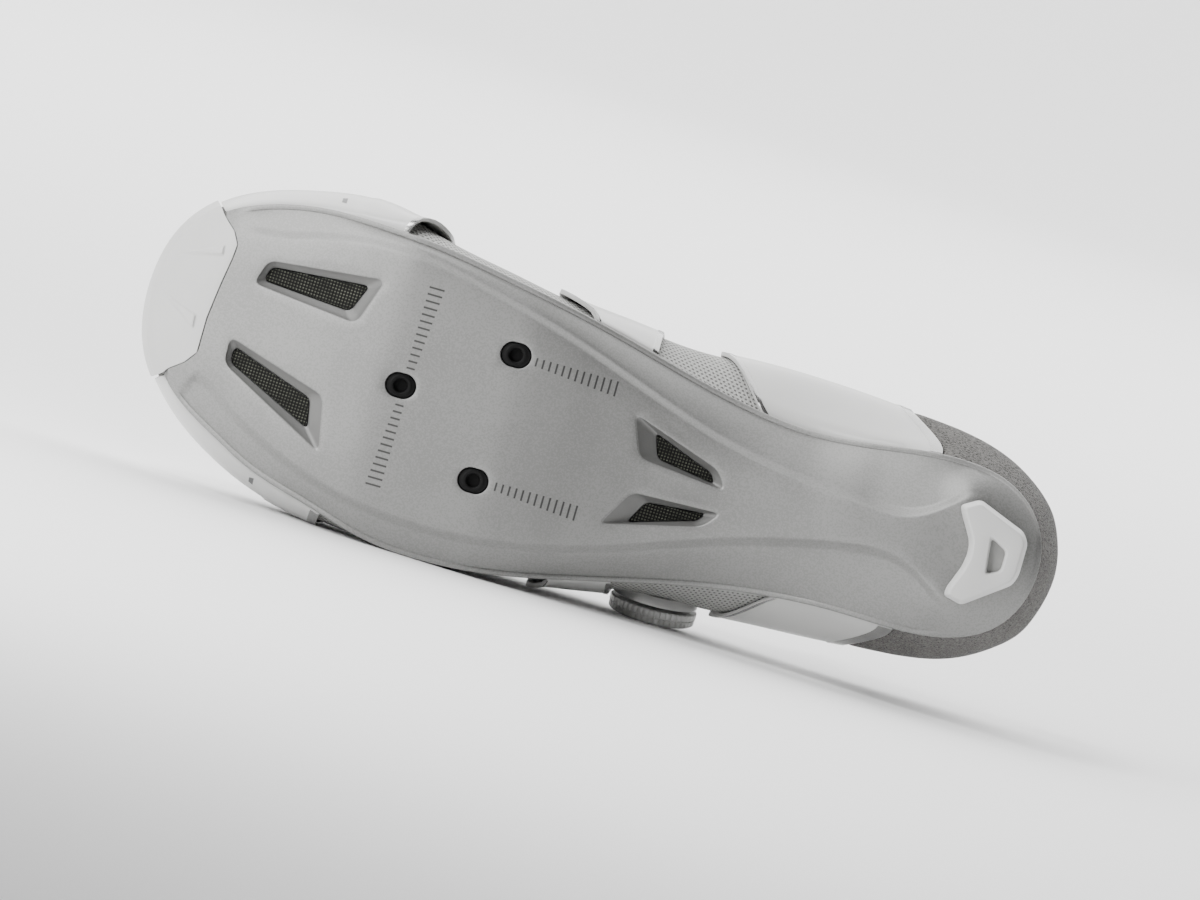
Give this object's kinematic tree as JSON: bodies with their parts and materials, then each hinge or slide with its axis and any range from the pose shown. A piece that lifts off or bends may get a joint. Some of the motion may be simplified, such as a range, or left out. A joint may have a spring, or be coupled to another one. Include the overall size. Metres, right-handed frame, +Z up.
{
  "type": "road cycling shoe",
  "caption": "Right road cycling shoe lying on its outer side: stiff vented sole for a three-bolt cleat, hollow upper with panels and a dial.",
  "frame": {"origin": "centre of the bounding box in plan, on the floor that the shoe lies on", "axes": "+X from toe to heel, +Y from the sole's underside to the top of the shoe, +Z up from the outer side to the inner side"},
  "size_m": [0.2874, 0.1154, 0.0991],
  "materials": {
    "sole": "satin",
    "bumper": "satin",
    "insert": "matte",
    "mesh": "matte",
    "insole": "matte",
    "upper": "satin",
    "tongue": "matte",
    "panel": "satin",
    "counter": "matte",
    "dial": "satin"
  },
  "bodies": {
    "root": {"sole_plate": "sole", "upper": "upper", "tongue": "tongue", "insole": "insole", "vent_mesh_front_medial": "mesh", "vent_mesh_front_lateral": "mesh", "vent_mesh_rear_medial": "mesh", "vent_mesh_rear_lateral": "mesh", "cleat_insert_front": "insert", "cleat_insert_medial": "insert", "cleat_insert_lateral": "insert", "heel_pad": "bumper", "toe_bumper": "bumper", "toe_panel": "panel", "midfoot_strap": "panel", "quarter_medial": "panel", "quarter_lateral": "panel", "heel_counter": "counter", "dial_base": "dial", "dial_knob": "dial"}
  },
  "joints": []
}
